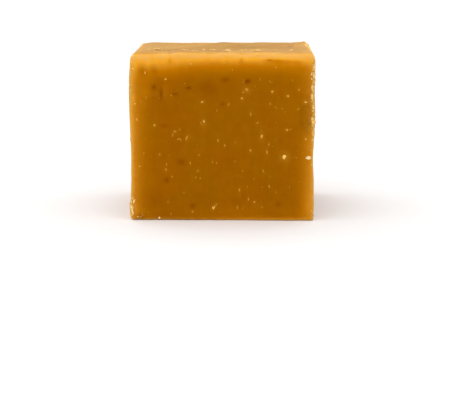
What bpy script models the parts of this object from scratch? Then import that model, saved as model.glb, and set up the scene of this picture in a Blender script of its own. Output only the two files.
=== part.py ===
"""One cube of fudge, cut from a slab that was poured, smoothed by hand and left to set.

The script uses metres and +Z up. The origin is the middle of the flat base. +X runs along the
wide cut face, which looks towards -Y, and the poured surface is on top.
"""

import math

import bmesh
import bpy
from mathutils import Vector, noise

# Driving sizes of the block
WIDTH = 0.0300
DEPTH = 0.0245
HEIGHT = 0.0275

# Edges: soft round the poured top, sharper where the slab lay on its tray
RIM_RADIUS = 0.0014
BASE_RADIUS = 0.0005

# Strokes of the palette knife over the top: their pitch, the height of the tallest crest, the
# height of each crest in turn, and the way they run, turned from +X
STROKE_WIDTH = 0.0052
STROKE_HEIGHT = 0.00022
STROKE_LEVELS = (1.0, 0.6, 0.9, 0.5, 0.8)
STROKE_RUN = math.radians(54)

# Below 1, this moves a crest to the near side of its stroke, so that it is steep on one side
CREST_SHARE = 0.6

# How far a stroke strays from its line, and over what length
STROKE_WANDER = 0.0012
WANDER_LENGTH = 0.013

# A hand-held blade leaves each cut face a little uneven
CUT_WAVE_HEIGHT = 0.00012
CUT_WAVE_LENGTH = 0.0085

# Grid of each face: its inner lines, and how strongly they gather towards the edges, up to 1
GRID_LINES = 24
CROWDING = 0.6

# Faces that turn by more than this from their neighbour meet in a sharp edge
SHARP_ANGLE = math.radians(50)

FUDGE_COLOUR = (0.38, 0.14, 0.012, 1.0)
FUDGE_ROUGHNESS = 0.5

# Where the plain block's sides are
LEFT, RIGHT = -WIDTH / 2, WIDTH / 2
FRONT, BACK = -DEPTH / 2, DEPTH / 2

# Places where the soft block was pressed out, pulled in or chipped: middle, reach along x, y
# and z, and height, which is below zero for a hollow
DENTS = (
    # the left side, drawn in a little below its middle
    (Vector((LEFT, FRONT, 0.37 * HEIGHT)), Vector((0.0060, 0.0120, 0.0055)), -0.00020),
    # the lip squeezed out at the foot of the front left corner
    (Vector((LEFT, FRONT, 0.07 * HEIGHT)), Vector((0.0030, 0.0030, 0.0016)), 0.00036),
    # the right side, drawn in more sharply at the same height
    (Vector((RIGHT, FRONT, 0.38 * HEIGHT)), Vector((0.0060, 0.0120, 0.0036)), -0.00028),
    # the edge chipped along the upper part of the front right corner
    (Vector((RIGHT, FRONT, 0.78 * HEIGHT)), Vector((0.0022, 0.0022, 0.0026)), -0.00014),
    # the corner of the poured top that was pulled up by the knife
    (Vector((0.94 * RIGHT, 0.92 * BACK, HEIGHT)), Vector((0.0018, 0.0018, 0.0018)), 0.00020),
    # the back left corner, crumbled on its way out of the tray
    (Vector((LEFT, BACK, 0.80 * HEIGHT)), Vector((0.0030, 0.0030, 0.0035)), -0.00045),
    # a knock in the foot of the back right corner
    (Vector((RIGHT, BACK, 0.16 * HEIGHT)), Vector((0.0028, 0.0028, 0.0024)), -0.00038),
)


def clear_scene():
    for thing in list(bpy.data.objects):
        bpy.data.objects.remove(thing, do_unlink=True)


def clamp(value, low, high):
    return max(low, min(high, value))


def crowded(t):
    """Moves a grid line, t from -1 to 1 across a face, closer to the nearer edge."""
    return (1 - CROWDING) * t + CROWDING * math.sin(t * math.pi / 2)


def edge_radius(z):
    """The radius of the edges at a height, between that of the base and that of the rim."""
    return BASE_RADIUS + (RIM_RADIUS - BASE_RADIUS) * clamp(z / HEIGHT, 0, 1)


def rounded(place):
    """Moves a point of the plain block on to the rounded block, and gives its outward way too."""
    radius = edge_radius(place.z)
    core = Vector((
        clamp(place.x, LEFT + radius, RIGHT - radius),
        clamp(place.y, FRONT + radius, BACK - radius),
        clamp(place.z, radius, HEIGHT - radius),
    ))
    outward = (place - core).normalized()
    return core + outward * radius, outward


def stroke_height(place):
    """The height of the knife strokes: low waves, steep on one side, that run across the top."""
    stray = STROKE_WANDER * noise.noise(place / WANDER_LENGTH)
    across = place.y * math.cos(STROKE_RUN) - place.x * math.sin(STROKE_RUN) + stray
    stroke = math.floor(across / STROKE_WIDTH)
    share = across / STROKE_WIDTH - stroke
    level = STROKE_LEVELS[stroke % len(STROKE_LEVELS)]
    return STROKE_HEIGHT * level * (1 - math.cos(2 * math.pi * share**CREST_SHARE)) / 2


def cut_wave(place):
    """How far a cut face stands out or in at a point, from the uneven pull of the blade."""
    return CUT_WAVE_HEIGHT * noise.noise(place / CUT_WAVE_LENGTH)


def dent_height(place):
    """The sum of the swells and chips at a point, each fading like a bell from its middle."""
    total = 0.0
    for middle, reach, height in DENTS:
        away = place - middle
        steps = Vector((away.x / reach.x, away.y / reach.y, away.z / reach.z))
        total += height * math.exp(-steps.length_squared)
    return total


def block_point(unit):
    """The block's own point for a point of the cube that runs from -0.5 to 0.5 each way."""
    plain = Vector((
        RIGHT * crowded(2 * unit.x),
        BACK * crowded(2 * unit.y),
        HEIGHT * (1 + crowded(2 * unit.z)) / 2,
    ))
    place, outward = rounded(plain)
    side_share = 1 - outward.z**2
    base_share = max(0, -outward.z)
    top_share = max(0, outward.z)
    place += outward * side_share * cut_wave(place)
    place += outward * (1 - base_share) * dent_height(place)
    place.z += top_share * (stroke_height(place) - STROKE_HEIGHT / 2)
    return place


def stand_on_origin(shape):
    """Slides the block so that the middle of its outline, seen from above, is the origin."""
    for axis in (0, 1):
        reach = [vertex.co[axis] for vertex in shape.verts]
        middle = (min(reach) + max(reach)) / 2
        for vertex in shape.verts:
            vertex.co[axis] -= middle


def join_base(shape):
    """Makes one flat face of all that lies on the ground."""
    base = [face for face in shape.faces if all(vertex.co.z == 0 for vertex in face.verts)]
    bmesh.ops.dissolve_faces(shape, faces=base, use_verts=False)


def fudge_material():
    made = bpy.data.materials.new("fudge")
    made.use_nodes = True
    shader = made.node_tree.nodes["Principled BSDF"]
    shader.inputs["Base Color"].default_value = FUDGE_COLOUR
    shader.inputs["Roughness"].default_value = FUDGE_ROUGHNESS
    shader.inputs["Metallic"].default_value = 0.0
    made.diffuse_color = FUDGE_COLOUR
    return made


def fudge_cube():
    """The whole object: one solid block that stands on one flat base."""
    shape = bmesh.new()
    bmesh.ops.create_cube(shape, size=1.0)
    bmesh.ops.subdivide_edges(shape, edges=shape.edges[:], cuts=GRID_LINES, use_grid_fill=True)
    for vertex in shape.verts:
        vertex.co = block_point(vertex.co)
    stand_on_origin(shape)
    join_base(shape)
    bmesh.ops.recalc_face_normals(shape, faces=shape.faces[:])
    mesh = bpy.data.meshes.new("fudge_cube")
    shape.to_mesh(mesh)
    shape.free()
    mesh.shade_smooth()
    mesh.set_sharp_from_angle(angle=SHARP_ANGLE)
    mesh.materials.append(fudge_material())
    cube = bpy.data.objects.new("fudge_cube", mesh)
    bpy.context.scene.collection.objects.link(cube)
    return cube


clear_scene()
fudge_cube()
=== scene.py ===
# %% [markdown]
# # One cube of fudge
# Fudge is sugar, butter and milk, boiled to a syrup and beaten until fine crystals cloud it. It is
# poured into a tray, smoothed with a palette knife, left to set and cut with a long blade. So the
# cube has three kinds of surface: a poured top with low knife strokes, four cut sides with a satin
# face, pale sugar grains and small opened bubbles, and a flat base.
#
# A solid model with the real sizes comes first. This script builds the finish round it. Every
# length is in metres.

import math

import bmesh
import bpy
import numpy as np
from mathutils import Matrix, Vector, noise
from mathutils.bvhtree import BVHTree


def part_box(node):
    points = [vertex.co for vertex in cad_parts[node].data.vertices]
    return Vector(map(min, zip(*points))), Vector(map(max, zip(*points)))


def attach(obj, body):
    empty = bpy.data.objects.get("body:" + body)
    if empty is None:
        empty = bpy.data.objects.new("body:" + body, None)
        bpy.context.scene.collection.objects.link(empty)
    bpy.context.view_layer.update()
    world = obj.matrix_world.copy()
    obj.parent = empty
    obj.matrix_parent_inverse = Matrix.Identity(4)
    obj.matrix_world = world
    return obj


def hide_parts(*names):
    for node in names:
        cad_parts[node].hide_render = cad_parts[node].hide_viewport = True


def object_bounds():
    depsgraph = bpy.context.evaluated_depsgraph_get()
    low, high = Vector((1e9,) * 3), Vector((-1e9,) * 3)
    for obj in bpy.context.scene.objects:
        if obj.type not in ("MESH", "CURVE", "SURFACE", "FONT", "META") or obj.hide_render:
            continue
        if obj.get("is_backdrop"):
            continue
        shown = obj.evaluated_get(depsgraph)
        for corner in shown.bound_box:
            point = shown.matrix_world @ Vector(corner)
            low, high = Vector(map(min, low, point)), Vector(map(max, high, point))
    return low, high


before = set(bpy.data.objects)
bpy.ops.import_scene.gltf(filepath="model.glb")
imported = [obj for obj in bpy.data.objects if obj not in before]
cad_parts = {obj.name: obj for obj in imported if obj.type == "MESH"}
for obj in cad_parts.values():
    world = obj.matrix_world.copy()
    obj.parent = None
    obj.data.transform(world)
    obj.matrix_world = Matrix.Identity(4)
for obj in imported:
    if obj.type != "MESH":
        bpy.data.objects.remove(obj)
solid_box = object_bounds()
low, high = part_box("fudge_cube")
WIDTH, DEPTH, HEIGHT = high - low
MM = 0.001
print("the cube is %.1f x %.1f x %.1f mm" % (WIDTH / MM, DEPTH / MM, HEIGHT / MM))

# %% [markdown]
# ## Camera
# A long lens keeps the sides of a small object close to parallel. The camera stands about seven
# widths away and looks slightly down, so that the front shows in full and the top as a thin band.
# The two angles are given instead of a point to look at, because the cube sits above the middle
# of the picture.

# %% Camera
LENS = 96
CAMERA_PLACE = Vector((0.146 * WIDTH, -6.762 * WIDTH, 1.412 * WIDTH))
LOOK_DOWN = math.radians(11.54)
LOOK_LEFT = math.radians(1.18)

camera = bpy.data.objects.new("camera", bpy.data.cameras.new("camera"))
bpy.context.scene.collection.objects.link(camera)
camera.data.lens = LENS
camera.data.clip_start = 0.01
camera.location = CAMERA_PLACE
camera.rotation_euler = (math.pi / 2 - LOOK_DOWN, 0, LOOK_LEFT)
bpy.context.scene.camera = camera
print("the camera is %.0f mm in front of the cube" % ((low.y - CAMERA_PLACE.y) / MM))

# %% [markdown]
# ## Sums on many points at once
# The block has about a hundred thousand corners, so its shape is worked out on whole arrays. Two
# helpers are enough: noise whose lumps have a known size, and a soft step from 0 to 1.

# %% Noise and soft steps
def noise_at(points, lump, seed=0):
    """Smooth noise, from about -1 to 1, at each of the points. Its lumps are `lump` across."""
    shift = Vector((31.7 * seed, 11.3 * seed, 23.9 * seed))
    return np.array([noise.noise(Vector(point) / lump + shift) for point in points])


def soft_step(values, start, end):
    """0 before start, 1 after end, and an S-shaped rise between them."""
    share = np.clip((values - start) / (end - start), 0, 1)
    return share * share * (3 - 2 * share)


# %% [markdown]
# ## The plain block
# A cube that is subdivided evenly spends most of its corners in the middle of its faces, where
# little happens. This grid has its own lines along each axis, which crowd towards the edges, so
# that the roundings and the crumbled corners get the finest cells. The middle of the base is one
# big face, because it is flat and nobody sees it.

# %% Grid of the plain block
CELL = 0.196 * MM
CROWDING = 0.6
BASE_BAND = 9
SWELL_ROOM = np.array((0.06, 0.10, 0.0)) * MM
TOP_ROOM = np.array((0.0, 0.0, 0.15)) * MM

# the solid's box holds its swells and crests, so the plain block inside is a little smaller
BOX_LOW = np.array(low) + SWELL_ROOM
BOX_HIGH = np.array(high) - SWELL_ROOM - TOP_ROOM


def grid_lines(start, end):
    """Places of the grid lines from one side to the other, closer together near both."""
    evenly = np.linspace(-1, 1, round((end - start) / CELL) + 1)
    crowded = (1 - CROWDING) * evenly + CROWDING * np.sin(evenly * np.pi / 2)
    return (start + end) / 2 + (end - start) / 2 * crowded


def quads(sheet, turned):
    """The faces of a sheet of point numbers. A number below zero marks a point that isn't used."""
    corners = (sheet[:-1, :-1], sheet[1:, :-1], sheet[1:, 1:], sheet[:-1, 1:])
    faces = np.stack(corners, axis=-1).reshape(-1, 4)
    faces = faces[faces.min(axis=1) >= 0]
    return faces[:, ::-1] if turned else faces


def box_grid():
    """The points on the outside of the plain block, and its faces as lists of point numbers."""
    lines = [grid_lines(*ends) for ends in zip(BOX_LOW, BOX_HIGH)]
    used = np.ones([len(line) for line in lines], bool)
    used[1:-1, 1:-1, 1:-1] = False
    used[BASE_BAND:-BASE_BAND, BASE_BAND:-BASE_BAND, 0] = False
    number = np.where(used, np.cumsum(used).reshape(used.shape) - 1, -1)
    points = np.stack(np.meshgrid(*lines, indexing="ij"), axis=-1)[used]
    sheets = (
        (number[0], True),
        (number[-1], False),
        (number[:, 0], False),
        (number[:, -1], True),
        (number[:, :, 0], True),
        (number[:, :, -1], False),
    )
    faces = [face for sheet, turned in sheets for face in quads(sheet, turned).tolist()]
    hole = number[BASE_BAND - 1:-BASE_BAND + 1, BASE_BAND - 1:-BASE_BAND + 1, 0]
    rim = (*hole[:-1, 0], *hole[-1, :-1], *hole[:0:-1, -1], *hole[0, :0:-1])
    faces.append([int(corner) for corner in reversed(rim)])
    return points, faces


plain, block_faces = box_grid()
print("the block has %d corners and %d faces" % (len(plain), len(block_faces)))

# %% [markdown]
# ## Round edges
# A point on the plain block is pulled on to a rounding in one move. The block is shrunk by the
# radius, the nearest point of that core is found by clamping, and the point is set one radius
# away from it. The same move gives the outward way, along which everything later is pressed out
# or in. The radius differs by direction: across the width it is small, because the blade left the
# uprights fairly sharp, and upwards it is large at the poured rim and small at the foot. It also
# wanders, as an edge does where a soft block was handled.

# %% Rounding
UPRIGHT_RADIUS = 0.75 * MM
CORNER_RADIUS = 1.15 * MM
RIM_RADIUS = 1.5 * MM
BASE_RADIUS = 0.45 * MM
RADIUS_WANDER = 0.22


def rounded(points, radii):
    """The points moved on to the rounded block, and their outward ways."""
    core = np.clip(points, BOX_LOW + radii, BOX_HIGH - radii)
    way = (points - core) / radii
    way /= np.linalg.norm(way, axis=1, keepdims=True)
    outward = way / radii
    return core + way * radii, outward / np.linalg.norm(outward, axis=1, keepdims=True)


up_share = (plain[:, 2] - low.z) / HEIGHT
upright = UPRIGHT_RADIUS + (CORNER_RADIUS - UPRIGHT_RADIUS) * up_share**6
radius = BASE_RADIUS + (RIM_RADIUS - BASE_RADIUS) * up_share
radii = np.stack((np.minimum(radius, upright), 0.5 * (radius + upright), radius), axis=1)
radii *= 1 + RADIUS_WANDER * noise_at(plain, 2.6 * MM, 1)[:, None]
points, outward = rounded(plain, radii)
print("the rim's radius is %.1f to %.1f mm" % (radii.min() / MM, radii.max() / MM))

# %% [markdown]
# ## How much an edge glows
# Light passes through thin fudge, so every edge looks paler than the middle of a face. Part of
# that is subsurface scattering, and the rest is painted glow in the colour: most at the rim, which
# the light falls on, less than half as much at the uprights, and hardly at the foot. At the rim the
# painted glow also stands in for the highlight on the rounding. On the top the glow fades inwards
# over some two millimetres. The material needs that as a number on each corner. It is worked out
# here, on the plain block, where the distance to a side is only a subtraction.

# %% How much an edge glows
LIT_WHOLE = 0.25 * MM
LIT_FAR = 1.5 * MM
LIT_ON_TOP = 2.3 * MM
# painted glow of each edge: strongest at the rim, where the light falls, and more on the left, where the
# tent is brighter
# left, front, foot, right, back and rim
EDGE_LIGHT = np.array((0.46, 0.42, 0.09, 0.32, 0.42, 1.0))


def side_gaps(places):
    """How far each place is from the six sides: left, front, foot, right, back and top."""
    return np.concatenate((places - BOX_LOW, BOX_HIGH - places), axis=1)


def glow_share(gaps):
    """How much the edges round each point glow, from 0 to 1, out of the gaps to the six sides."""
    share = EDGE_LIGHT * np.exp(-((np.maximum(gaps - LIT_WHOLE, 0) / LIT_FAR) ** 1.15))
    own_side = np.argmin(gaps, axis=1)
    share[np.arange(len(gaps)), own_side] = 0
    on_a_side = 1 - np.prod(1 - share, axis=1)
    next_gap = np.maximum(np.sort(gaps, axis=1)[:, 1], 0)
    return np.where(own_side == 5, np.exp(-next_gap / LIT_ON_TOP), on_a_side)


gaps = side_gaps(plain)
edge_gap = np.sort(gaps, axis=1)[:, 1]
on_top = gaps[:, 5] < 1e-9
lit = glow_share(gaps)
print("%.0f%% of the corners lie in the pale rim" % (100 * (lit > 0.5).mean()))

# %% [markdown]
# ## Knife strokes on the poured top
# The cooling fudge was smoothed with a palette knife in slanting strokes that overlap like
# shingles. Across the strokes the surface rises slowly to a thin lip and then drops. A sine would
# look like corrugated iron, so the profile is a ramp with a soft drop, and each stroke has its own
# height and its own tone. The strokes wander, fade in and out along their way, and die down
# towards the rim, where the knife was lifted.

# %% Knife strokes
STROKE_WIDTH = 5.2 * MM
STROKE_HEIGHT = 0.27 * MM
STROKE_LEVELS = np.array((1.0, 0.6, 0.9, 0.5, 0.8))
STROKE_TONES = np.array((0.15, 0.75, 0.40, 1.0, 0.0))
STROKE_RUN = math.radians(54)
STROKE_WANDER = 3.0 * MM
WANDER_LUMP = 17 * MM
FINE_WANDER = 0.15
FINE_LUMP = 4 * MM
FADED_SHARE = 0.35
FADE_LUMP = 9 * MM
DROP_SHARE = 0.14
LIP_HEIGHT = 0.25
LIP_SHARE = 0.05
RIM_CALM = 0.35
CALM_FROM, CALM_TO = 0.4 * MM, 3.5 * MM
SCRATCH_WIDTH = 0.55 * MM
SCRATCH_LENGTH = 14 * SCRATCH_WIDTH
SCRATCH_HEIGHT = 0.022 * MM


def along_and_across(points):
    """How far each point is along the knife's way, and how far across it."""
    x, y = points[:, 0], points[:, 1]
    along = x * math.cos(STROKE_RUN) + y * math.sin(STROKE_RUN)
    across = y * math.cos(STROKE_RUN) - x * math.sin(STROKE_RUN)
    return along, across


def stroke_places(points):
    """The number of the stroke that each point lies in, and its share of the way across it."""
    along, across = along_and_across(points)
    wander = noise_at(points, WANDER_LUMP) + FINE_WANDER * noise_at(points, FINE_LUMP, 8)
    strokes = (across + STROKE_WANDER * wander) / STROKE_WIDTH
    return np.floor(strokes).astype(int), strokes % 1


def stroke_profile(share):
    """The height of one stroke, from 0 to 1 and a little more at its lip."""
    crest = 1 - DROP_SHARE
    ramp = np.where(share < crest, share / crest, 1 - soft_step(share, crest, 1))
    return ramp + LIP_HEIGHT * np.exp(-(((share - crest) / LIP_SHARE) ** 2))


def stroke_height(points):
    """The height of the strokes and scratches at each point of the top."""
    number, share = stroke_places(points)
    level = STROKE_LEVELS[number % len(STROKE_LEVELS)]
    fade = soft_step(noise_at(points, FADE_LUMP, 7), -0.5, 0.3)
    fade = FADED_SHARE + (1 - FADED_SHARE) * fade
    along, across = along_and_across(points)
    stretched = np.stack((across / SCRATCH_WIDTH, along / SCRATCH_LENGTH, 0 * across), axis=1)
    scratches = SCRATCH_HEIGHT * noise_at(stretched, 1, 2)
    return STROKE_HEIGHT * (level * fade * stroke_profile(share) - 0.35) + scratches


top_share = np.clip(outward[:, 2], 0, 1)
calm = RIM_CALM + (1 - RIM_CALM) * soft_step(edge_gap, CALM_FROM, CALM_TO)
points[:, 2] += top_share * calm * stroke_height(points)
stroke_tone = STROKE_TONES[stroke_places(points)[0] % len(STROKE_TONES)]
print("the highest stroke stands at %.2f mm" % (points[:, 2].max() / MM))

# %% [markdown]
# ## Cut sides
# A long blade pulled down through the slab leaves faces that are flat to the eye but swell and
# sink by a tenth of a millimetre, with fine upright drag marks. Noise gives both: round lumps for
# the swell, and lumps stretched upwards for the drag.

# %% Cut sides
SWELL_HEIGHT = 0.12 * MM
SWELL_WIDTH = 8.5 * MM
DRAG_HEIGHT = 0.012 * MM
DRAG_WIDTH = 0.5 * MM


def cut_height(points):
    """How far a cut side stands out at each point."""
    swell = SWELL_HEIGHT * noise_at(points, SWELL_WIDTH)
    drag = points / (DRAG_WIDTH, DRAG_WIDTH, 12 * DRAG_WIDTH)
    return swell + DRAG_HEIGHT * noise_at(drag, 1, 3)


side_share = 1 - outward[:, 2] ** 2
points += outward * (side_share * cut_height(points))[:, None]

# %% [markdown]
# ## Dents, lips and knocks
# Soft fudge keeps what happened to it: a side drawn in by the blade, a lip squeezed out at the
# foot, a chipped corner. Each is a bell-shaped swell with its own middle and reach. They are
# listed one by one, because they give this one cube its outline.

# %% Dents
FRONT_LEFT = np.array((low.x, low.y, 0))
FRONT_RIGHT = np.array((high.x, low.y, 0))
BACK_LEFT = np.array((low.x, high.y, 0))
BACK_RIGHT = np.array((high.x, high.y, 0))
UP = np.array((0, 0, HEIGHT))

# middle, reach along x, y and z in mm, and height in mm, which is below zero for a hollow
DENTS = (
    (FRONT_LEFT + 0.37 * UP, (6.0, 12.0, 5.5), -0.20),
    (FRONT_LEFT + 0.07 * UP, (3.0, 3.0, 1.6), 0.24),
    (FRONT_LEFT + 0.96 * UP, (2.6, 6.0, 2.4), -0.20),
    (FRONT_RIGHT + 0.38 * UP, (6.0, 12.0, 3.6), -0.28),
    (FRONT_RIGHT + 0.78 * UP, (2.2, 2.2, 2.6), -0.14),
    (BACK_RIGHT * (0.94, 0.92, 1) + UP, (1.8, 1.8, 1.8), 0.20),
    (BACK_LEFT + 0.80 * UP, (3.0, 3.0, 3.5), -0.45),
    (BACK_RIGHT + 0.16 * UP, (2.8, 2.8, 2.4), -0.38),
)


def bells(points, places):
    """The sum of bell-shaped swells at each point."""
    total = np.zeros(len(points))
    for middle, reach, height in places:
        steps = (points - middle) / (np.array(reach) * MM)
        total += height * MM * np.exp(-(steps**2).sum(axis=1))
    return total


above_base = np.clip(1 + outward[:, 2], 0, 1)
points += outward * (above_base * bells(points, DENTS))[:, None]
print("the outline is %.1f mm wide" % (np.ptp(points[:, 0]) / MM))

# %% [markdown]
# ## Crumbled edges
# Where the blade went in and out, the edge breaks into short bites instead of staying round. The
# bites are noise that is kept only near an edge, and only along the stretches where a second,
# much larger noise says that the edge crumbled. The front stayed clean, but for a few stretches of
# its uprights. Torn fudge dries at once, so where it crumbled an upright turns yellow, and tan at
# its very edge. Every upright gets the same colours over half a millimetre as painted sheen and
# glow, and a little further where it crumbled. Under the rim they are left out. The foot has a
# thinner line of the same kind, which is painted light reflected from below. All that is one more
# number for the material.

# %% Crumbled edges
BITE_DEPTH = 0.20 * MM
BITE_WIDTH = 0.75 * MM
BITE_REACH = 0.9 * MM
CLEAN_FRONT = 0.10
STRETCH_REACH = 2 * MM
STRETCH_FADE = 0.8
# side of the front, lowest and highest place in mm, and how much it has crumbled there
FRONT_STRETCHES = (
    (1, 13.5, 26.0, 0.75),
    (1, 0.2, 2.2, 0.40),
    (-1, 24.6, 26.6, 0.25),
    (-1, 21.4, 23.3, 0.50),
    (-1, 0.6, 4.0, 0.85),
)


def crumbling(points):
    """How much each stretch of edge has crumbled, from 0 to 1."""
    patches = soft_step(noise_at(points, 7 * MM, 4), -0.25, 0.25)
    hidden = soft_step(points[:, 1], BOX_LOW[1] + 1 * MM, BOX_LOW[1] + 6 * MM)
    crumbled = patches * (CLEAN_FRONT + (1 - CLEAN_FRONT) * hidden)
    for side, lowest, highest, amount in FRONT_STRETCHES:
        height = points[:, 2] / MM
        along = soft_step(height, lowest - STRETCH_FADE, lowest + STRETCH_FADE)
        along = along * soft_step(-height, -highest - STRETCH_FADE, STRETCH_FADE - highest)
        on_this_side = points[:, 0] * side > BOX_HIGH[0] - STRETCH_REACH
        in_front = points[:, 1] < BOX_LOW[1] + STRETCH_REACH
        crumbled = np.maximum(crumbled, amount * along * (on_this_side & in_front))
    return crumbled


crumbled = crumbling(points)
near_edge = np.exp(-((edge_gap / BITE_REACH) ** 2))
bites = soft_step(noise_at(points, BITE_WIDTH, 5) + 0.5 * noise_at(points, BITE_WIDTH / 2, 6), 0, 0.7)
points -= outward * (above_base * near_edge * crumbled * bites * BITE_DEPTH)[:, None]
print("%.0f%% of the edges have crumbled" % (100 * crumbled[edge_gap < BITE_REACH].mean()))

# %% How dry an edge is, and its painted sheen
DRY_FAR = 0.55 * MM
TORN_SHARE = 0.6
TORN_FAR = 0.75 * MM
FOOT_SHARE = 0.75
FOOT_FAR = 0.20 * MM
RIM_SPARED = 0.9
RIM_FAR = 2.2 * MM

# only the four uprights count here: the gaps to left, front, right and back, without a side's own
upright_gap = np.sort(gaps[:, (0, 1, 3, 4)], axis=1)[:, 1]
# painted sheen and glow: a band along every upright
dry_and_sheen = np.exp(-upright_gap / DRY_FAR)
# drying where the edge crumbled and tore
torn = TORN_SHARE * crumbled * np.exp(-((upright_gap / TORN_FAR) ** 2))
# painted reflected light: a thin line along the foot
foot_line = FOOT_SHARE * np.exp(-gaps[:, 2] / FOOT_FAR)
# the dry colour and the painted sheen are left out under the rim
under_rim = 1 - RIM_SPARED * np.exp(-((gaps[:, 5] / RIM_FAR) ** 2))
dry_and_sheen = np.where(on_top, 0, np.maximum.reduce((dry_and_sheen, torn, foot_line)) * under_rim)
print("%.1f%% of the corners are dry" % (100 * (dry_and_sheen > 0.5).mean()))

# %% [markdown]
# ## Places on a side
# Pits, stains, grains and crumbs all need the same question answered: where is the point that is
# so far across a side and so far up it? Each side has an outward, an across and an up way, and
# the rest is sums with them.

# %% Places on a side
SIDES = {
    "front": ((0, -1, 0), (1, 0, 0), (0, 0, 1)),
    "back": ((0, 1, 0), (-1, 0, 0), (0, 0, 1)),
    "left": ((-1, 0, 0), (0, -1, 0), (0, 0, 1)),
    "right": ((1, 0, 0), (0, 1, 0), (0, 0, 1)),
    "top": ((0, 0, 1), (1, 0, 0), (0, 1, 0)),
}
SIDES = {name: [np.array(way, float) for way in ways] for name, ways in SIDES.items()}
REACH = (BOX_HIGH - BOX_LOW) / 2
MIDDLE = BOX_LOW + REACH
# how far in from a side a spot still acts, in mm
SPOT_DEPTH = 1.8


def side_size(side):
    """How far a side reaches across and up, in mm."""
    _, across_way, up_way = SIDES[side]
    return 2 * REACH @ abs(across_way) / MM, 2 * REACH @ abs(up_way) / MM


def on_side(side, across, up):
    """The place `across` from the middle of a side and `up` from its foot, in mm."""
    outward_way, across_way, up_way = SIDES[side]
    foot = MIDDLE + outward_way * (REACH @ abs(outward_way)) - up_way * (REACH @ abs(up_way))
    return foot + (across_way * across + up_way * up) * MM


def spot(side, across, up, width, height):
    """A soft round spot on a side: 1 at its middle, fading to 0, at each point of the block."""
    outward_way, across_way, up_way = SIDES[side]
    away = (points - on_side(side, across, up)) / MM
    spread = (away @ across_way / (width / 2)) ** 2 + (away @ up_way / (height / 2)) ** 2
    return np.exp(-spread) * (abs(away @ outward_way) < SPOT_DEPTH)


def chance(seed):
    """A source of random numbers that starts the same way each time."""
    return np.random.default_rng(seed)


def any_place(draw, side, reach, lowest, highest):
    """A random place on a side, in mm, out of shares of its width and height."""
    wide, tall = side_size(side)
    return draw.uniform(-reach, reach) * wide, draw.uniform(lowest, highest) * tall


# %% [markdown]
# ## Pits, dark stains, painted shade and painted glow
# Small hollows opened where the blade dragged out a grain, and syrup darkened the fudge around
# some of them. A pit is a soft spot pressed inwards. Its darkening is the same spot kept only as a
# number on each corner, which the material reads. On the front and the top that darkness is partly
# painted shade, inside the pits and in the groove of a knife stroke on the top, and broad spots
# without a pit darken the front below the rim, along the left of the rim and at the lower left.
# Those of the front and the top are listed, and each other side gets fifteen at random. In a few
# places on the hidden sides the fudge broke open, and left a deeper, ragged pit. Spots of the same
# kind make the painted glow along the edges uneven, and take it away where an edge lies in shade.

# %% Pits and stains
# dark stains, partly painted shade: each pit is painted darker inside, where shade falls, and the broad
# spots without depth darken a band below the rim, the left of the rim and the lower left
# across from the middle, up from the foot, width, height and depth in mm, and darkness
FRONT_STAINS_AND_SHADE = (
    (4.1, 22.95, 1.0, 0.8, 0.13, 1.0), (-5.4, 21.85, 0.9, 0.5, 0.12, 0.95),
    (-4.5, 21.2, 0.6, 0.3, 0.06, 0.45), (-11.0, 22.0, 0.7, 0.65, 0.08, 0.8),
    (-7.6, 20.9, 1.0, 0.5, 0.08, 0.8), (0.5, 23.2, 1.5, 1.0, 0.04, 0.65),
    (-2.3, 22.0, 3.2, 2.8, 0.03, 0.44), (0.1, 19.3, 0.65, 0.7, 0.07, 0.75),
    (-9.85, 20.9, 0.55, 2.0, 0.04, 0.75), (-9.4, 15.7, 1.3, 0.45, 0.04, 0.55),
    (-6.7, 9.7, 1.3, 1.1, 0.05, 0.6), (-9.1, 6.7, 0.8, 0.8, 0.06, 0.75),
    (-4.9, 2.4, 0.85, 0.9, 0.06, 0.65), (-12.2, 3.6, 1.2, 1.0, 0.04, 0.25),
    (9.1, 2.7, 0.9, 0.85, 0.06, 0.4), (9.3, 13.2, 0.7, 0.6, 0.04, 0.3),
    (-3.1, 16.4, 0.6, 0.6, 0.04, 0.35), (-9.5, 0.9, 8.0, 1.8, 0.0, 0.16),
    (-12.0, 3.4, 4.5, 3.0, 0.0, 0.25), (-10.2, 23.1, 1.6, 1.6, 0.0, 0.2),
    (-12.7, 24.5, 1.2, 1.8, 0.0, 0.3), (-10.9, 24.7, 1.1, 1.5, 0.0, 0.32),
    (-6.4, 24.3, 1.6, 1.1, 0.0, 0.1), (0.0, 22.9, 22.0, 4.4, 0.0, 0.1),
)
# on the top the two spots on the right are painted shade in the groove of a knife stroke
TOP_STAINS_AND_SHADE = (
    (11.4, 14.2, 1.2, 3.4, 0.05, 0.6), (9.3, 11.4, 10.0, 5.6, 0.0, 0.36),
    (2.9, 15.0, 1.6, 1.0, 0.03, 0.3), (-7.4, 18.6, 1.2, 0.8, 0.04, 0.35),
)
HIDDEN_STAINS = 15
# side, across from the middle, up from the foot and width in mm
BROKEN_SPOTS = (
    ("back", 7.4, 22.6, 1.7),
    ("back", -4.8, 7.2, 1.2),
    ("left", 5.2, 21.4, 1.4),
    ("right", 6.9, 5.6, 1.5),
)


def scattered_stains(side, seed):
    """Stains like the front's, at random places on another side."""
    draw = chance(seed)
    for _ in range(HIDDEN_STAINS):
        across, up = any_place(draw, side, 0.46, 0.06, 0.94)
        width = draw.uniform(0.5, 1.5)
        height = width * draw.uniform(0.5, 1.2)
        depth = 0.12 / width * draw.uniform(0.3, 1)
        yield across, up, width, height, depth, draw.uniform(0.25, 0.85)


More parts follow.
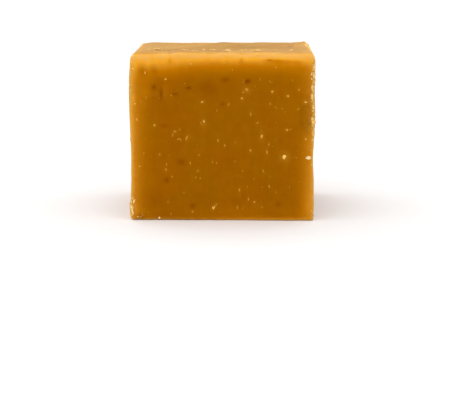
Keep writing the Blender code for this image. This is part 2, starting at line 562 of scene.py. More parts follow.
dark = np.zeros(len(points))
pressed = np.zeros(len(points))
stains_and_shade = {"front": FRONT_STAINS_AND_SHADE, "top": TOP_STAINS_AND_SHADE}
for seed, side in enumerate(("back", "left", "right"), start=20):
    stains_and_shade[side] = tuple(scattered_stains(side, seed))
for side, places in stains_and_shade.items():
    for *place, depth, darkness in places:
        shown = spot(side, *place)
        pressed += shown * depth * MM
        dark = np.maximum(dark, shown * darkness)
ragged = 1 + 0.45 * noise_at(points, 0.8 * MM, 9)
for *place, width in BROKEN_SPOTS:
    shown = np.minimum(1.6 * spot(*place, width, 0.7 * width) ** 1.5 * ragged, 1)
    pressed += shown * 0.18 * width * MM
    dark = np.maximum(dark, 0.8 * spot(*place, 1.3 * width, 1.1 * width))
points -= outward * pressed[:, None]
print("%d stains, the deepest pit is %.2f mm" % (sum(map(len, stains_and_shade.values())), pressed.max() / MM))

# %% Painted glow and shade along the edges
# across from the middle, up from the foot, width and height in mm, and change of the painted glow;
# below zero it paints the edge darker
GLOW_AND_SHADE_MARKS = (
    (-8.4, 26.8, 0.5, 1.7, -0.2), (-11.3, 26.8, 0.5, 1.0, -0.2),
    (-12.0, 26.2, 1.0, 1.4, 0.14), (-13.2, 24.6, 1.0, 1.4, -0.1),
    (3.1, 26.8, 0.5, 1.6, -0.2), (-2.4, 26.9, 0.6, 1.2, -0.12),
    (7.5, 26.4, 1.1, 0.35, -0.26), (6.8, 27.0, 1.4, 0.7, 0.2),
    (-10.5, 25.0, 8.0, 3.0, 0.16), (0.0, 25.5, 26.0, 1.8, 0.05),
    (-12.4, 21.6, 1.8, 2.4, 0.1), (-9.0, 21.9, 1.4, 1.6, 0.08),
    (-12.8, 19.4, 1.2, 2.0, 0.06), (8.5, 0.1, 14.0, 0.7, 0.4),
    (-11.8, 27.3, 4.0, 1.0, -0.16), (8.8, 26.25, 3.3, 0.9, -0.2),
    (11.6, 26.1, 2.6, 0.7, -0.1), (14.3, 16.4, 3.0, 4.0, -0.22),
    (14.2, 9.0, 2.6, 12.0, 0.07), (14.3, 2.5, 2.2, 5.0, 0.16),
    (14.2, 18.6, 2.6, 4.0, -0.15), (-14.4, 2.6, 1.6, 3.6, 0.08),
    (-14.4, 20.3, 0.9, 2.0, 0.2), (3.0, 1.4, 9.0, 2.2, 0.06),
    (-13.7, 0.5, 1.8, 1.2, -0.26), (-14.8, 4.4, 1.0, 3.0, -0.18),
)
for *place, change in GLOW_AND_SHADE_MARKS:
    lit += change * spot("front", *place)
lit = np.clip(lit, 0, 1.1)

# %% [markdown]
# ## The block's mesh
# The corners and faces become one mesh. Numbers go along on its corners for the material: how much
# painted glow each corner has, how dry it is and how much painted sheen it has, how much of the
# poured skin it has, how dark it is stained or painted with shade, and the tone of its knife
# stroke. They cost nothing.

# %% The block's mesh
def store(mesh, label, values):
    """Keeps a number for each corner of a mesh under a name."""
    stored = mesh.attributes.new(label, "FLOAT", "POINT")
    stored.data.foreach_set("value", values.astype(np.float32))


def make_mesh(name, corners, faces, numbers):
    """A smooth-shaded object from arrays of corners and faces, with named numbers on its corners."""
    mesh = bpy.data.meshes.new(name)
    mesh.from_pydata(corners.tolist(), [], faces)
    for label, values in numbers.items():
        store(mesh, label, values)
    mesh.shade_smooth()
    made = bpy.data.objects.new(name, mesh)
    bpy.context.scene.collection.objects.link(made)
    return made


poured = soft_step(outward[:, 2], 0.72, 0.93)
numbers = {"glow": lit, "dry_and_sheen": dry_and_sheen, "poured": poured, "stain_and_shade": dark, "tone": stroke_tone}
block = make_mesh("fudge_block", points, block_faces, numbers)
block_tree = BVHTree.FromPolygons(points.tolist(), block_faces)
print("%s has %d triangles" % (block.name, sum(len(face) - 2 for face in block_faces)))

# %% [markdown]
# ## Lumps of sugar and fudge
# The pale flecks in the cut sides are sugar grains, and the crumbs on the edges are broken fudge.
# Both are the same thing to a modeller: a small ball, swollen by a few waves, cut flat by a few
# random planes, stretched, turned and half sunk in the surface. A ray shot at the block from
# outside finds the surface and its slope. All the lumps of one kind are joined in one mesh, built
# from arrays, because thousands of separate objects would be slow.

# %% A ball and a bent sausage
def as_arrays(shape):
    """The corners and triangles of a shape, which is freed."""
    bmesh.ops.triangulate(shape, faces=shape.faces[:])
    corners = np.array([vertex.co for vertex in shape.verts])
    triangles = np.array([[vertex.index for vertex in face.verts] for face in shape.faces])
    shape.free()
    return corners, triangles


def ball(subdivisions):
    """A ball of radius 1."""
    shape = bmesh.new()
    bmesh.ops.create_icosphere(shape, subdivisions=subdivisions, radius=1)
    return as_arrays(shape)


def crescent(sweep, thickness):
    """A bent sausage with pointed ends, on a circle of radius 1 - thickness."""
    shape = bmesh.new()
    bmesh.ops.create_uvsphere(shape, u_segments=8, v_segments=18, radius=1)
    corners, triangles = as_arrays(shape)
    angle = corners[:, 2] * sweep / 2
    radius = 1 - thickness * (1 - corners[:, 0])
    bent = (radius * np.cos(angle), radius * np.sin(angle), thickness * corners[:, 1])
    return np.stack(bent, axis=1), triangles


# %% Broken and laid lumps
def broken(corners, draw, swell, knobs, cuts):
    """The corners moved by a few waves, then cut flat by random planes, another way each time."""
    waves = draw.normal(0, knobs, (3, 3))
    swelling = np.sin(corners @ waves + draw.uniform(0, 6.3, 3)).sum(axis=1) / 3
    corners = corners * (1 + swell * swelling)[:, None]
    for _ in range(cuts):
        way = draw.normal(0, 1, 3)
        way /= np.linalg.norm(way)
        over = np.maximum(corners @ way - draw.uniform(0.5, 0.85), 0)
        corners = corners - over[:, None] * way
    return corners


def land(place, towards):
    """Where a ray from outside, shot past the place along `towards`, meets the block."""
    start = Vector(place) - Vector(towards) * WIDTH
    foot, slope, _, _ = block_tree.ray_cast(start, Vector(towards))
    return np.array(foot), slope


# above this, an outward way counts as upwards, and "up" on the surface is towards the back
LEVEL = 0.5


def lay_axes(slope, turn):
    """Three axes on a surface: across, up and outward, turned by an angle in the surface."""
    outward_way = np.array(slope)
    guide = np.array((0, 1, 0) if abs(outward_way[2]) > LEVEL else (0, 0, 1))
    across_way = np.cross(guide, outward_way)
    across_way /= np.linalg.norm(across_way)
    up_way = np.cross(outward_way, across_way)
    cosine, sine = math.cos(turn), math.sin(turn)
    turned_across = cosine * across_way + sine * up_way
    turned_up = cosine * up_way - sine * across_way
    return np.stack((turned_across, turned_up, outward_way))


# %% One mesh for each kind
class Lumps:
    """Collects lumps of one kind, and joins them in one mesh."""

    def __init__(self, shape, swell, knobs, cuts, seed):
        self.corners, self.triangles = shape
        self.breaking = (swell, knobs, cuts)
        self.draw = chance(seed)
        self.shapes = []
        self.feet = []
        self.tints = []

    def add(self, foot, slope, sizes, turn, tint, sunk):
        """Lays one lump of three sizes, in mm. `sunk` is the share of its thickness below."""
        shape = broken(self.corners, self.draw, *self.breaking) * (np.array(sizes) * MM / 2)
        shape[:, 2] += (0.5 - sunk) * sizes[2] * MM
        self.shapes.append(foot + shape @ lay_axes(slope, turn))
        self.feet.append(foot)
        self.tints.append(tint)

    def lay(self, side, across, up, sizes, turn, tint, sunk):
        """Lays one lump at a place on a side."""
        foot, slope = land(on_side(side, across, up), -SIDES[side][0])
        self.add(foot, slope, sizes, turn, tint, sunk)

    def join(self, name):
        """Makes the one object that holds all the lumps."""
        count = len(self.shapes)
        starts = np.arange(count)[:, None, None] * len(self.corners)
        faces = (self.triangles[None] + starts).reshape(-1, 3).tolist()
        numbers = {"tint": self.tints, "glow": glow_share(side_gaps(np.array(self.feet)))}
        numbers = {label: np.repeat(values, len(self.corners)) for label, values in numbers.items()}
        made = make_mesh(name, np.concatenate(self.shapes), faces, numbers)
        print("%s: %d lumps, %d triangles" % (name, count, len(faces)))
        return made


# %% [markdown]
# ## Sugar grains
# On the front each grain that catches the eye has its place in a list. The fainter ones, and all
# those of the other sides, are scattered: mostly a fifth of a millimetre wide, a few twice that,
# and often drawn out upwards by the blade. The tint says how far a grain shows through, from a
# faint one under the skin to a bare white one. They hardly stand out, because the blade cut them
# level with the side. Round a grain, and over one that lies deeper, the fudge itself is paler: a
# soft spot on the block, which is once more a number on its corners.

# %% Sugar grains
# across from the middle, up from the foot, width and height in mm, turn in degrees, and tint
FRONT_GRAINS = (
    (-2.98, 16.4, 0.42, 0.74, 5, 0.68), (10.2, 10.6, 0.85, 0.85, 0, 1.0),
    (13.5, 19.6, 0.44, 0.38, 0, 0.95), (-1.5, 2.1, 0.32, 0.5, 30, 0.95),
    (-1.3, 2.3, 0.3, 0.42, -32, 0.9), (-3.2, 19.6, 0.46, 0.4, 0, 0.6),
    (-9.1, 23.3, 0.4, 0.36, 0, 0.62), (-5.0, 25.8, 0.4, 0.44, 0, 0.45),
    (-12.4, 24.3, 0.28, 0.56, 0, 0.62), (-13.8, 16.7, 0.28, 0.66, 10, 0.7),
    (-14.1, 19.3, 0.3, 0.32, 0, 0.75), (-13.5, 9.0, 0.34, 0.22, 0, 0.8),
    (-11.0, 15.8, 0.44, 0.4, 0, 0.5), (-7.7, 14.8, 0.6, 0.44, 0, 0.22),
    (-6.9, 15.1, 0.26, 0.4, 0, 0.25), (-5.8, 13.7, 0.34, 0.86, -24, 0.3),
    (-10.2, 11.0, 0.36, 0.36, 0, 0.36), (-3.8, 10.9, 0.3, 0.3, 0, 0.32),
    (-5.2, 9.6, 0.24, 0.66, 12, 0.42), (-9.1, 9.3, 0.28, 0.5, 0, 0.28),
    (-9.2, 8.5, 0.3, 0.46, 0, 0.36), (-8.2, 7.3, 0.28, 0.44, 20, 0.28),
    (-4.0, 8.3, 0.28, 0.32, 0, 0.5), (-4.3, 7.2, 0.3, 0.3, 0, 0.36),
    (-3.6, 7.1, 0.36, 0.34, 0, 0.25), (-4.9, 1.5, 0.46, 0.38, 0, 0.34),
    (-1.0, 2.7, 0.26, 0.28, 0, 0.6), (-8.9, 3.1, 0.28, 0.24, 0, 0.28),
    (-0.7, 13.3, 0.26, 0.62, 0, 0.42), (0.4, 12.5, 0.26, 0.5, 15, 0.38),
    (2.1, 13.0, 0.28, 0.4, 10, 0.22), (-1.6, 9.8, 0.22, 0.46, 22, 0.24),
    (-0.9, 9.6, 0.22, 0.52, 12, 0.3), (4.6, 11.7, 0.34, 0.48, 8, 0.5),
    (6.4, 14.0, 0.36, 0.92, -14, 0.6), (7.6, 12.7, 0.26, 0.56, 10, 0.45),
    (7.3, 11.4, 0.28, 0.74, 14, 0.55), (10.5, 15.1, 0.46, 0.42, 0, 0.45),
    (11.1, 15.2, 0.34, 0.28, 0, 0.2), (13.6, 13.6, 0.44, 0.5, 0, 0.5),
    (8.1, 21.3, 0.46, 0.42, 15, 0.48), (10.6, 20.6, 0.46, 0.44, -20, 0.52),
    (12.4, 21.6, 0.3, 0.44, 25, 0.5), (4.0, 21.7, 0.8, 0.6, 0, 0.32),
    (3.2, 20.2, 0.36, 0.4, 35, 0.55), (3.4, 21.2, 0.3, 0.26, 0, 0.5),
    (4.6, 17.7, 0.24, 0.72, 16, 0.42), (5.7, 16.2, 0.34, 0.32, 0, 0.42),
    (7.8, 19.3, 0.34, 0.5, 40, 0.3), (8.7, 18.7, 0.16, 0.9, 62, 0.18),
    (9.7, 18.6, 0.22, 0.5, 50, 0.24), (10.2, 18.0, 0.24, 0.4, 30, 0.22),
    (12.3, 18.5, 0.24, 0.6, -55, 0.2), (2.8, 5.1, 0.24, 0.8, 12, 0.55),
    (4.3, 3.6, 0.24, 0.6, 12, 0.4), (5.3, 3.1, 0.36, 0.4, 20, 0.62),
    (6.7, 8.3, 0.2, 0.72, 24, 0.34), (7.8, 7.4, 0.3, 0.34, 0, 0.22),
    (4.1, 5.7, 0.2, 0.24, 0, 0.42), (3.3, 8.3, 0.24, 0.24, 0, 0.32),
    (6.5, 2.3, 0.6, 0.44, 0, 0.08), (8.6, 25.2, 0.28, 0.3, 0, 0.5),
    (-14.3, 27.0, 0.34, 0.6, 0, 1.0),
)
SIDE_GRAINS = {"front": 70, "back": 170, "left": 145, "right": 145, "top": 26}
LEAST_GRAIN = 0.10
GRAIN_SPREAD = 0.07
LONGEST_GRAIN = 1.0
BIG_SHARE = 0.07
FRONT_PALEST = 0.42
GRAIN_SUNK = 0.76


def scatter_grains(lumps, side, count, seed):
    """Lays small grains at random on a side, more of them faint than bright."""
    draw = chance(seed)
    most = FRONT_PALEST if side == "front" else 1.0
    for _ in range(count):
        across, up = any_place(draw, side, 0.48, 0.03, 0.97)
        width = LEAST_GRAIN + GRAIN_SPREAD * draw.gamma(1.6)
        tint = most * draw.beta(1.2, 2.6)
        if side in ("back", "left", "right") and draw.random() < BIG_SHARE:
            width = draw.uniform(0.3, 0.5)
            tint = draw.uniform(0.5, 0.95)
        length = min(width * draw.uniform(1, 2.6), LONGEST_GRAIN)
        turn = math.radians(draw.normal(0, 22))
        lumps.lay(side, across, up, (width, length, 0.6 * width), turn, tint, GRAIN_SUNK)


grains = Lumps(ball(2), swell=0.22, knobs=2.2, cuts=2, seed=40)
for across, up, width, height, turn, tint in FRONT_GRAINS:
    sizes = (width, height, 0.5 * min(width, height))
    grains.lay("front", across, up, sizes, math.radians(turn), tint, GRAIN_SUNK)
for seed, (side, count) in enumerate(SIDE_GRAINS.items(), start=54):
    scatter_grains(grains, side, count, seed)
sugar = grains.join("sugar_grains")

# %% Soft pale spots
# across from the middle, up from the foot, width and height in mm, and how pale
FRONT_CLOUDS = (
    (4.0, 21.6, 1.7, 1.5, 0.3), (-12.3, 20.9, 2.0, 1.1, 0.24),
    (-9.3, 20.7, 1.1, 1.4, 0.18), (-10.8, 20.9, 1.6, 0.9, 0.14),
    (-11.6, 23.0, 2.0, 1.2, 0.12), (-13.2, 19.6, 0.8, 1.8, 0.16),
    (-7.6, 14.6, 1.2, 1.0, 0.16), (8.9, 13.4, 1.1, 1.0, 0.16),
    (-12.3, 3.4, 1.6, 1.2, 0.12), (-5.4, 14.0, 1.0, 1.4, 0.14),
    (5.8, 2.6, 1.6, 1.2, 0.14), (5.3, 19.2, 1.4, 0.9, 0.12),
)
HALO = 2.2
HALO_SHARE = 0.45
HIDDEN_CLOUDS = 30

pale = np.zeros(len(points))
for across, up, width, height, _, tint in FRONT_GRAINS:
    pale = np.maximum(pale, HALO_SHARE * tint * spot("front", across, up, HALO * width, HALO * height))
for *place, amount in FRONT_CLOUDS:
    pale = np.maximum(pale, amount * spot("front", *place))
draw = chance(45)
for side in ("back", "left", "right"):
    for _ in range(HIDDEN_CLOUDS):
        place = any_place(draw, side, 0.45, 0.08, 0.92)
        shown = spot(side, *place, draw.uniform(0.7, 1.8), draw.uniform(0.8, 1.8))
        pale = np.maximum(pale, draw.uniform(0.05, 0.3) * shown)
store(block.data, "pale", pale)
print("%.1f%% of the corners lie in a pale spot" % (100 * (pale > 0.05).mean()))

# %% [markdown]
# ## Opened bubbles
# Beating leaves air in the fudge. The blade opens the bubbles and squeezes their rim into a
# crescent, like a small hook. Its pale tint is partly a painted highlight, the light caught on the
# bubble's lip. The ball's corners are bent round an arc for the crescent: the ball's own axis
# becomes the arc, so the crescent has pointed ends without any further work.

# %% Opened bubbles
# across from the middle, up from the foot, width and height in mm, turn in degrees, and tint
FRONT_BUBBLES = (
    (-3.22, 16.2, 0.6, 0.6, 205, 0.36), (2.1, 9.8, 0.46, 0.5, 120, 0.3),
    (12.0, 10.4, 0.5, 0.4, 60, 0.3), (-13.0, 1.1, 0.6, 0.6, 200, 0.4),
    (-0.7, 18.2, 0.5, 0.5, 160, 0.3), (-12.4, 20.2, 0.6, 0.5, 30, 0.2),
)
SIDE_BUBBLES = {"front": 5, "back": 22, "left": 18, "right": 18}
BUBBLE_SUNK = 0.46

rims = Lumps(crescent(math.radians(230), 0.17), swell=0.10, knobs=2.2, cuts=0, seed=70)
for across, up, width, height, turn, tint in FRONT_BUBBLES:
    rims.lay("front", across, up, (width, height, width), math.radians(turn), tint, BUBBLE_SUNK)
draw = chance(71)
for side, count in SIDE_BUBBLES.items():
    for _ in range(count):
        place = any_place(draw, side, 0.47, 0.04, 0.88)
        width = draw.uniform(0.35, 0.8)
        sizes = (width, width * draw.uniform(0.7, 1.3), width)
        turn, tint = draw.uniform(0, 6.3), 0.6 * draw.beta(1.3, 2.2)
        rims.lay(side, *place, sizes, turn, tint, BUBBLE_SUNK)
bubbles = rims.join("bubble_rims")

# %% [markdown]
# ## Crumbs
# A row of crumbs stayed on the top where one pass of the knife ended. Flakes and small crumbs hang
# along the right-hand upright and the rim above it, where the blade tore, and two flakes at the
# foot of the left one. The crumbled edges at the back are full of them. A crumb is laid like a
# grain, but it is rougher and stands further out. Where the fudge broke open on a hidden side,
# small crumbs were dragged down to the lower side of the dark pit.

# %% Crumbs listed one by one
# across from the middle, and size, in mm
ROW_CRUMBS = (
    (-12.1, 0.85), (-11.2, 0.65), (-10.6, 0.70), (-10.0, 0.50), (-8.9, 0.45), (-6.4, 0.70),
    (-5.9, 0.50), (-4.7, 0.50), (-4.2, 0.60), (-3.1, 0.55), (-1.9, 0.45), (-1.5, 0.50),
    (-1.1, 0.45), (0.5, 0.60), (0.9, 0.85), (3.1, 0.55), (3.9, 0.60), (5.3, 0.70),
    (5.9, 0.85), (8.6, 0.45), (11.2, 0.70),
)
ROW_PLACE = 4.4
ROW_SUNK = 0.30
# side, across from the middle, up from the foot, width and height in mm, turn in degrees, and tint
FLAKES = (
    ("front", 14.76, 23.8, 0.44, 1.4, 0, 0.85), ("front", 14.52, 21.9, 0.42, 1.3, -6, 0.55),
    ("front", 14.54, 20.4, 0.46, 1.4, 8, 0.7), ("front", 14.68, 18.8, 0.34, 1.2, -4, 0.55),
    ("front", -14.5, 3.2, 0.3, 0.8, -20, 0.8), ("front", -14.8, 1.5, 0.38, 1.8, 0, 0.75),
    ("top", 14.0, 20.6, 0.5, 0.8, 18, 0.6), ("top", 14.25, 18.9, 0.4, 1.4, 4, 0.8),
    ("top", 14.3, 17.6, 0.55, 0.7, -12, 0.85), ("top", 14.45, 14.9, 0.45, 1.1, 6, 0.85),
    ("top", 14.45, 9.6, 0.34, 1.2, -5, 0.65),
)
FLAKE_THICK = 0.25
# the same for lumps that are thicker than the flakes
BIG_CRUMBS = (
    ("front", 14.1, 10.5, 1.0, 0.62, -6, 1.0), ("top", 14.1, 22.6, 0.6, 0.6, 0, 0.25),
    ("top", 14.5, 12.9, 0.6, 0.9, 10, 0.85),
)
BIG_SUNK = 0.42
# side, across from the middle, up from the foot, width and height in mm, and the palest tint
PATCHES = (
    ("front", 14.9, 23.4, 0.24, 2.0, 0.9), ("front", 14.62, 22.0, 0.3, 1.5, 0.7),
    ("front", 14.56, 20.4, 0.3, 1.5, 0.8), ("front", 14.74, 18.9, 0.26, 1.4, 0.7),
    ("front", 14.75, 15.6, 0.26, 3.0, 0.5), ("top", 14.2, 18.4, 0.5, 6.0, 1.0),
    ("top", 14.35, 13.4, 0.5, 4.0, 1.0), ("top", 14.5, 8.2, 0.36, 6.0, 0.9),
)
# how many crumbs lie on a millimetre of a patch's height
PATCH_CRUMBS = 10
CRUMB_SUNK = 0.55

crumbs = Lumps(ball(2), swell=0.42, knobs=3.4, cuts=5, seed=60)
draw = chance(61)
for across, size in ROW_CRUMBS:
    sizes = (1.1 * size, size * draw.uniform(0.8, 1.1), 0.55 * size)
    place = ROW_PLACE + draw.uniform(-0.3, 0.3)
    crumbs.lay("top", across, place, sizes, draw.normal(0, 0.4), draw.uniform(0.5, 0.9), ROW_SUNK)

for side, across, up, width, height, turn, tint in FLAKES:
    crumbs.lay(side, across, up, (width, height, FLAKE_THICK), math.radians(turn), tint, CRUMB_SUNK)

for side, across, up, width, height, palest in PATCHES:
    for _ in range(round(PATCH_CRUMBS * height)):
        place = across + width * draw.uniform(-0.5, 0.5), up + height * draw.uniform(-0.5, 0.5)
        size = draw.uniform(0.16, 0.34)
        sizes = (size, size * draw.uniform(0.8, 1.6), 0.9 * size)
        tint = palest * draw.uniform(0.2, 1)
        crumbs.lay(side, *place, sizes, draw.normal(0, 0.4), tint, CRUMB_SUNK)

for side, across, up, width, height, turn, tint in BIG_CRUMBS:
    crumbs.lay(side, across, up, (width, height, 0.6 * width), math.radians(turn), tint, BIG_SUNK)

# %% Crumbs round the broken spots
RING_CRUMBS = 30

for side, across, up, width in BROKEN_SPOTS:
    for angle in draw.normal(-math.pi / 2, 1.1, RING_CRUMBS):
        away = width * draw.normal(0.5, 0.16)
        size = 0.09 + 0.05 * draw.gamma(1.5)
        sizes = (size, size * draw.uniform(0.6, 1.2), 0.8 * size)
        ring_place = across + away * math.cos(angle), up + 0.7 * away * math.sin(angle)
        crumbs.lay(side, *ring_place, sizes, draw.uniform(0, 3), draw.uniform(0.0, 0.8), CRUMB_SUNK)

# %% Crumbs along the broken edges
EDGE_CRUMBS = 1150

rough_edge = crumbled**2 * (edge_gap < 0.7 * MM) * (points[:, 2] > 0.15 * MM)
picked = draw.choice(len(points), EDGE_CRUMBS, replace=False, p=rough_edge / rough_edge.sum())
for corner in picked:
    size = 0.12 + 0.07 * draw.gamma(1.5)
    sizes = size * np.array((1, draw.uniform(0.6, 1.2), draw.uniform(0.6, 1)))
    turn, tint = draw.uniform(0, 3), draw.uniform(0.3, 1)
    crumbs.add(points[corner], outward[corner], sizes, turn, tint, CRUMB_SUNK)
loose = crumbs.join("edge_crumbs")

# %% [markdown]
# ## Writing materials as sums
# A material is a net of small boxes. Wired by hand it soon hides what it means, so a thin class
# wraps the output of a box and lets it stand in a sum: `1 - mask * 0.4` adds the two boxes that
# it needs. Everything that isn't a sum comes from one method, which takes the kind of box, its
# settings and what goes into its sockets.

# %% Sums for materials
class Wire:
    """One output of a node, which can be added, subtracted and multiplied like a number."""

    def __init__(self, net, socket):
        self.net = net
        self.socket = socket

    def sum(self, operation, first, second):
        return self.net.node("ShaderNodeMath", {"operation": operation}, {0: first, 1: second})

    def __add__(self, other):
        return self.sum("ADD", self, other)

    __radd__ = __add__

    def __sub__(self, other):
        return self.sum("SUBTRACT", self, other)

    def __rsub__(self, other):
        return self.sum("SUBTRACT", other, self)

    def __mul__(self, other):
        return self.sum("MULTIPLY", self, other)

    __rmul__ = __mul__


class Net:
    """The nodes of one material or of the surroundings."""

    def __init__(self, owner):
        owner.use_nodes = True
        self.tree = owner.node_tree
        self.tree.nodes.clear()

    def node(self, kind, settings=None, sockets=None, output=0):
        """Adds a node, makes its settings first, fills its sockets and gives one of its outputs."""
        made = self.tree.nodes.new(kind)
        for name, value in (settings or {}).items():
            setattr(made, name, value)
        for name, value in (sockets or {}).items():
            if isinstance(value, Wire):
                self.tree.links.new(value.socket, made.inputs[name])
            else:
                made.inputs[name].default_value = value
        return Wire(self, made.outputs[output]) if made.outputs else None

    def stored(self, label):
        """A number that was stored on the corners of the mesh."""
        return self.node("ShaderNodeAttribute", {"attribute_name": label}, output=2)

    def place(self):
        """The place of a point on the object, in metres."""
        return self.node("ShaderNodeTexCoord", output=3)

    def noise(self, place, lump, detail=2.0):
        """Noise from 0 to 1 with lumps of a size in metres."""
        sockets = {"Vector": place, "Scale": 1 / lump, "Detail": detail}
        return self.node("ShaderNodeTexNoise", None, sockets)

    def soft_step(self, value, start, end):
        """0 before start, 1 after end, and an S-shaped rise between them."""
        sockets = {"Value": value, "From Min": start, "From Max": end}
        return self.node("ShaderNodeMapRange", {"interpolation_type": "SMOOTHSTEP"}, sockets)

    def blend(self, share, first, second):
        """A colour between two, from the first at 0 to the second at 1."""
        sockets = {0: share, 6: first, 7: second}
        return self.node("ShaderNodeMix", {"data_type": "RGBA"}, sockets, output=2)

    def bump(self, height):
        """Small relief out of a height in metres."""
        return self.node("ShaderNodeBump", None, {"Height": height, "Strength": 1.0, "Distance": 1.0})

    def scaled(self, colour, factor):
        """A colour made brighter or darker all over."""
        return self.node("ShaderNodeVectorMath", {"operation": "SCALE"}, {0: colour, 3: factor})

    def stretched(self, place, ways):
        """The place measured along three ways of any length, for noise that is drawn out."""
        parts = [
            self.node("ShaderNodeVectorMath", {"operation": "DOT_PRODUCT"}, {0: place, 1: way}, output=1)
            for way in ways
        ]
        return self.node("ShaderNodeCombineXYZ", None, dict(enumerate(parts)))


# %% [markdown]
# ## Fudge
# Light goes a millimetre or two into fudge and comes out again, which is why thin edges glow
# paler than the middle of a face. Subsurface scattering does part of that, with a long way for red,
# a shorter one for green and the shortest for blue. The colour does the rest, in steps: broad warm
# patches with faint upright streaks, painted glow that turns the edges amber, golden and pale and
# at the rim also stands in for the highlight, the tanner poured skin with a tone for each stroke
# and painted glow towards its rim, uprights that are dry where torn and painted with sheen along
# their edges, and dark stains with painted shade in the pits and grooves. The small relief is made
# of noises in true metres: fine sugar, soft lumps, and drag marks that run upwards on the sides
# and along the strokes on top.

# %% Fudge colours
CUT_COLOUR = (0.356, 0.125, 0.0, 1)
WARM_COLOUR = (0.364, 0.113, 0.0, 1)
# colours of the painted glow on the edges, from amber to the rim; GOLD is also the pale spots' colour
AMBER_GLOW_COLOUR = (0.592, 0.208, 0.0, 1)
AMBER_SHARE = 0.32
GOLD_COLOUR = (0.835, 0.408, 0.030, 1)
GOLD_SHARE = 0.60
PALE_SHARE = 0.50
RIM_GLOW_COLOUR = (0.800, 0.440, 0.102, 1)
RIM_SHARE = 0.90
YELLOW_COLOUR = (0.605, 0.304, 0.032, 1)
DRY_AND_SHEEN_COLOUR = (0.620, 0.350, 0.092, 1)
STAIN_AND_SHADE_COLOUR = (0.222, 0.036, 0.0, 1)
POURED_COLOUR = (0.625, 0.308, 0.042, 1)
POURED_DARK = (0.420, 0.182, 0.006, 1)
POURED_LIT = (0.800, 0.370, 0.080, 1)
GLOW_DEPTH = 1.4 * MM
GLOW_COLOUR = (1.0, 0.80, 0.25)
SHINE_COLOUR = (1.0, 0.62, 0.0, 1)


# %% Fudge
def upright_ways(across, up):
    """Three ways for noise that is drawn out upwards."""
    return (1 / across, 0, 0), (0, 1 / across, 0), (0, 0, 1 / up)


def stroke_ways(across, along):
    """Three ways for noise that is drawn out along the knife strokes."""
    cosine, sine = math.cos(STROKE_RUN), math.sin(STROKE_RUN)
    return (-sine / across, cosine / across, 0), (cosine / along, sine / along, 0), (0, 0, 1 / along)


def cut_colour(net, place):
    """The colour of a cut side: patches and streaks of two browns, mottled, with soft pale spots."""
    patches = net.soft_step(net.noise(place, 6.5 * MM), 0.35, 0.65)
    streaks = net.noise(net.stretched(place, upright_ways(0.5 * MM, 6 * MM)), 1, 2)
    colour = net.blend(patches * 0.7 + streaks * 0.3, CUT_COLOUR, WARM_COLOUR)
    mottling = net.noise(place, 1.3 * MM, 3) * 0.7 + streaks * 0.3
    colour = net.scaled(colour, 0.82 + mottling * 0.36)
    return net.blend(net.stored("pale") * PALE_SHARE, colour, GOLD_COLOUR)


def fudge_material():
    """The look of the whole block."""
    made = bpy.data.materials.new("fudge")
    net = Net(made)
    place = net.place()
    glow, top = net.stored("glow"), net.stored("poured")

    colour = cut_colour(net, place)
    drips = net.noise(net.stretched(place, upright_ways(0.9 * MM, 3 * MM)), 1, 2)
    wander = drips * 0.2 + net.noise(place, 1.1 * MM, 3) * 0.24 + net.noise(place, 5 * MM, 1) * 0.2
    glow = glow * (wander + 0.68)
    # painted glow: the edges turn amber and then golden
    colour = net.blend(glow * (1 / AMBER_SHARE), colour, AMBER_GLOW_COLOUR)
    colour = net.blend((glow - AMBER_SHARE) * (1 / (GOLD_SHARE - AMBER_SHARE)), colour, GOLD_COLOUR)

    scratches = net.noise(net.stretched(place, stroke_ways(0.7 * MM, 9 * MM)), 1, 3)
    clouds = net.noise(place, 4 * MM, 2)
    tone = net.stored("tone") * 0.45 + clouds * 0.6 + scratches * 0.3 - 0.17
    # painted glow towards the rim of the poured skin
    skin = net.blend(glow * 0.6, net.blend(tone, POURED_DARK, POURED_COLOUR), POURED_LIT)
    colour = net.blend(top, colour, skin)

    # painted glow and painted highlight along the rim
    colour = net.blend((glow - GOLD_SHARE) * (1 / (RIM_SHARE - GOLD_SHARE)), colour, RIM_GLOW_COLOUR)
    torn = net.soft_step(net.noise(place, 0.5 * MM, 3), 0.25, 0.7)
    dry_and_sheen = net.stored("dry_and_sheen") * (0.45 + torn * 0.85)
    # dry where torn, and painted sheen along the uprights and the foot: yellow, then tan
    colour = net.blend(dry_and_sheen * 2, colour, YELLOW_COLOUR)
    colour = net.blend(dry_and_sheen * 2 - 1, colour, DRY_AND_SHEEN_COLOUR)
    # dark stains, and painted shade in the pits and in a groove on the top
    colour = net.blend(net.stored("stain_and_shade") * 0.85, colour, STAIN_AND_SHADE_COLOUR)

    drag = net.noise(net.stretched(place, upright_ways(0.22 * MM, 2.8 * MM)), 1, 2)
    lumps = net.noise(place, 0.4 * MM, 2)
    relief = net.noise(place, 0.09 * MM, 2) * 0.009 * MM + lumps * 0.032 * MM
    relief = relief + drag * (1 - top) * (0.009 * MM) + scratches * top * (0.02 * MM)

    surface = net.node("ShaderNodeBsdfPrincipled", None, {
        "Base Color": colour,
        "Roughness": 0.38 + lumps * 0.18,
        "Normal": net.bump(relief),
        "Specular IOR Level": 0.22,
        "Specular Tint": SHINE_COLOUR,
        "Subsurface Weight": 1.0,
        "Subsurface Radius": GLOW_COLOUR,
        "Subsurface Scale": GLOW_DEPTH,
    })
    net.node("ShaderNodeOutputMaterial", None, {"Surface": surface})
    return made


block.data.materials.append(fudge_material())
print("%s: %d nodes" % (block.active_material.name, len(block.active_material.node_tree.nodes)))

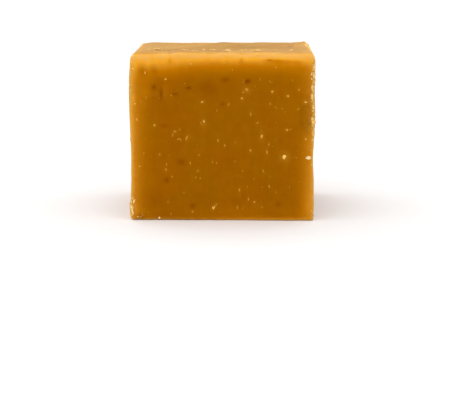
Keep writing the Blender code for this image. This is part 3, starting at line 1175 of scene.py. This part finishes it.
# %% [markdown]
# ## Sugar and crumbs
# A grain is the same boiled sugar with air in it, so it is paler and throws light back at once. It
# needs no subsurface scattering, which would also drain the red from a lump this small. Its tint
# mixes the fudge's colour with the pale one, and fine noise keeps two grains from matching. Crumbs
# are paler still, because a broken surface is nothing but small crystals. Near the edges the fudge
# is painted with glow, so the fainter and middling lumps are painted with the same glow there, or
# they would look like dirt.

# %% Sugar and crumbs
SUGAR_COLOURS = ((0.42, 0.150, 0.0, 1), (0.70, 0.315, 0.034, 1), (0.99, 0.61, 0.14, 1))
CRUMB_COLOURS = ((0.62, 0.27, 0.03, 1), (0.87, 0.50, 0.16, 1), (1.00, 0.76, 0.34, 1))
LIT_LUMP_COLOUR = (0.95, 0.53, 0.100, 1)


def lump_material(name, faint, middling, pale):
    """The look of grains, bubble rims or crumbs, with a faint, a middling and a pale colour."""
    made = bpy.data.materials.new(name)
    net = Net(made)
    place = net.place()
    cloudy = net.noise(place, 0.12 * MM, 2)
    tint = net.stored("tint") * (0.75 + cloudy * 0.5)
    glow = net.stored("glow")
    # painted glow near the edges, as on the block
    faint = net.blend(glow, faint, GOLD_COLOUR)
    middling = net.blend(glow, middling, LIT_LUMP_COLOUR)
    colour = net.blend(tint * 2 - 1, net.blend(tint * 2, faint, middling), pale)
    surface = net.node("ShaderNodeBsdfPrincipled", None, {
        "Base Color": colour,
        "Roughness": 0.45 + cloudy * 0.2,
        "Normal": net.bump(cloudy * 0.02 * MM),
        "Specular IOR Level": 0.25,
        "Specular Tint": SHINE_COLOUR,
    })
    net.node("ShaderNodeOutputMaterial", None, {"Surface": surface})
    return made


sugar.data.materials.append(lump_material("sugar", *SUGAR_COLOURS))
bubbles.data.materials.append(lump_material("bubble_rims", *SUGAR_COLOURS))
loose.data.materials.append(lump_material("crumbs", *CRUMB_COLOURS))

# %% [markdown]
# ## Table and light
# The cube stands on a plain pale table in a white tent. The tent is the surroundings themselves:
# brightest overhead, plain white all round, and a little dimmer behind and to the right. Nothing
# else lights the cube. A lamp would draw hard lines, while the tent keeps the light soft. The glow
# of the rims comes from subsurface scattering and from the glow painted into the fudge's colour.
# The camera sees an even white in place of the tent.

# %% Table
TABLE_REACH = 3.0

shape = bmesh.new()
bmesh.ops.create_grid(shape, x_segments=8, y_segments=8, size=TABLE_REACH)
table_mesh = bpy.data.meshes.new("table")
shape.to_mesh(table_mesh)
shape.free()
table = bpy.data.objects.new("table", table_mesh)
bpy.context.scene.collection.objects.link(table)
table_paint = bpy.data.materials.new("table")
net = Net(table_paint)
fleck = net.noise(net.place(), 1.5 * MM, 2)
paint = net.blend(fleck, (0.93, 0.93, 0.93, 1), (0.95, 0.95, 0.95, 1))
matt = net.node("ShaderNodeBsdfPrincipled", None, {
    "Base Color": paint,
    "Roughness": 0.9,
    "Specular IOR Level": 0.1,
})
net.node("ShaderNodeOutputMaterial", None, {"Surface": matt})
table.data.materials.append(table_paint)
table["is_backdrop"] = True

# %% Light
TENT_SIDE = 0.80
TENT_ABOVE = 1.45
TENT_LEFT = 0.20
TENT_BACK = 0.60

world = bpy.data.worlds.new("tent")
bpy.context.scene.world = world
net = Net(world)
way = net.node("ShaderNodeTexCoord", output=0)
rightward, backward, upward = (
    net.node("ShaderNodeSeparateXYZ", None, {0: way}, output=axis) for axis in range(3)
)
above = net.soft_step(upward, 0.35, 0.85)
wall = TENT_SIDE - net.soft_step(backward, 0.3, 0.9) * (TENT_SIDE - TENT_BACK)
strength = wall + above * (TENT_ABOVE - TENT_SIDE) - rightward * TENT_LEFT
tent = net.node("ShaderNodeBackground", None, {"Color": (1, 1, 1, 1), "Strength": strength})
seen = net.node("ShaderNodeBackground", None, {"Color": (1, 1, 1, 1), "Strength": 1.0})
to_camera = net.node("ShaderNodeLightPath", output=0)
both = net.node("ShaderNodeMixShader", None, {0: to_camera, 1: tent, 2: seen})
net.node("ShaderNodeOutputWorld", None, {"Surface": both})
bpy.context.scene.view_settings.view_transform = "Standard"

# %% [markdown]
# ## Last steps
# Every piece rides on the one body of the object, and the fine block stands for the plain solid.
# The box of the solid and the box of the finished pieces end the script as its last value.

# %% Last steps
for piece in (block, sugar, bubbles, loose):
    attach(piece, "root")
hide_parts("fudge_cube")

boxes = {"solid": solid_box, "finished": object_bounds()}
{name: [list(corner) for corner in box] for name, box in boxes.items()}
